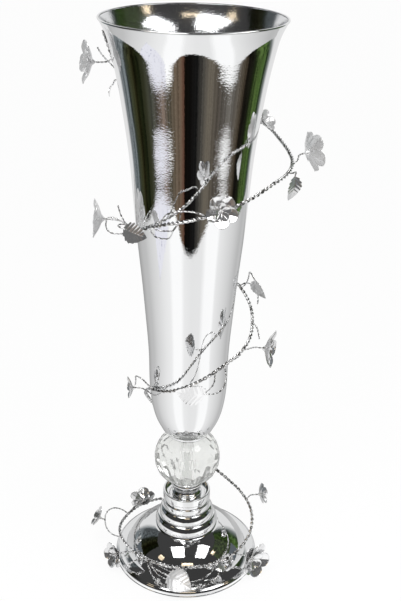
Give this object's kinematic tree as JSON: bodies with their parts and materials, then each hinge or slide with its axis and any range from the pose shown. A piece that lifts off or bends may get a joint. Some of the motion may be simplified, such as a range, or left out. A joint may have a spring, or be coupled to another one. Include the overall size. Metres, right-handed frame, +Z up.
{
  "type": "trumpet vase",
  "caption": "Tall trumpet-shaped flower vase of mirror-bright metal on a stepped foot, with a faceted crystal ball in its neck and a wire vine of flowers and leaves wound round it.",
  "frame": {"origin": "middle of the felt's lower face, on the vase's axis", "axes": "+Z up the vase's axis, +X to the right and -Y to the front of the picture"},
  "size_m": [0.2795, 0.2414, 0.6996],
  "materials": {
    "bright_chrome": "mirror polish with fine spinning marks",
    "vine_chrome": "bright plated wire",
    "blossom_chrome": "bright plated stamped sheet",
    "crystal": "cut and polished facets",
    "clear_gasket": "soft satin",
    "seal_rubber": "matt",
    "fastener_steel": "zinc plated",
    "weight_iron": "as cast",
    "felt": "felt"
  },
  "bodies": {
    "root": {"felt_pad": "felt", "base_weight": "weight_iron", "foot_dome": "bright_chrome", "lower_step": "bright_chrome", "upper_step": "bright_chrome", "lower_collar": "bright_chrome", "neck_spacer": "bright_chrome", "upper_collar": "bright_chrome", "ball_seat": "bright_chrome", "trumpet_seat": "bright_chrome", "trumpet_body": "bright_chrome", "crystal_ball": "crystal", "centre_sleeve": "bright_chrome", "ball_lower_gasket": "clear_gasket", "ball_upper_gasket": "clear_gasket", "water_seal": "seal_rubber", "tie_rod": "fastener_steel", "top_nut": "fastener_steel", "top_washer": "fastener_steel", "bottom_washer": "fastener_steel", "spring_washer": "fastener_steel", "bottom_nut": "fastener_steel", "vine_rim": "vine_chrome", "vine_upper": "vine_chrome", "vine_upper_back": "vine_chrome", "vine_middle": "vine_chrome", "vine_lower_back": "vine_chrome", "vine_foot_back": "vine_chrome", "vine_foot": "vine_chrome", "flower_rim": "blossom_chrome", "flower_upper_back": "blossom_chrome", "flower_upper_right": "blossom_chrome", "flower_upper_front": "blossom_chrome", "flower_upper_left": "blossom_chrome", "flower_behind": "blossom_chrome", "flower_middle_right": "blossom_chrome", "flower_middle_left": "blossom_chrome", "flower_foot_high": "blossom_chrome", "flower_foot_right": "blossom_chrome", "flower_foot_left": "blossom_chrome", "flower_foot_far_left": "blossom_chrome", "flower_foot_back": "blossom_chrome", "leaf_rim": "blossom_chrome", "leaf_upper_right": "blossom_chrome", "leaf_upper_left": "blossom_chrome", "leaf_behind": "blossom_chrome", "leaf_middle_back": "blossom_chrome", "leaf_middle_front": "blossom_chrome", "leaf_lower_back": "blossom_chrome", "leaf_foot_side": "blossom_chrome", "leaf_foot_front": "blossom_chrome"}
  },
  "joints": []
}
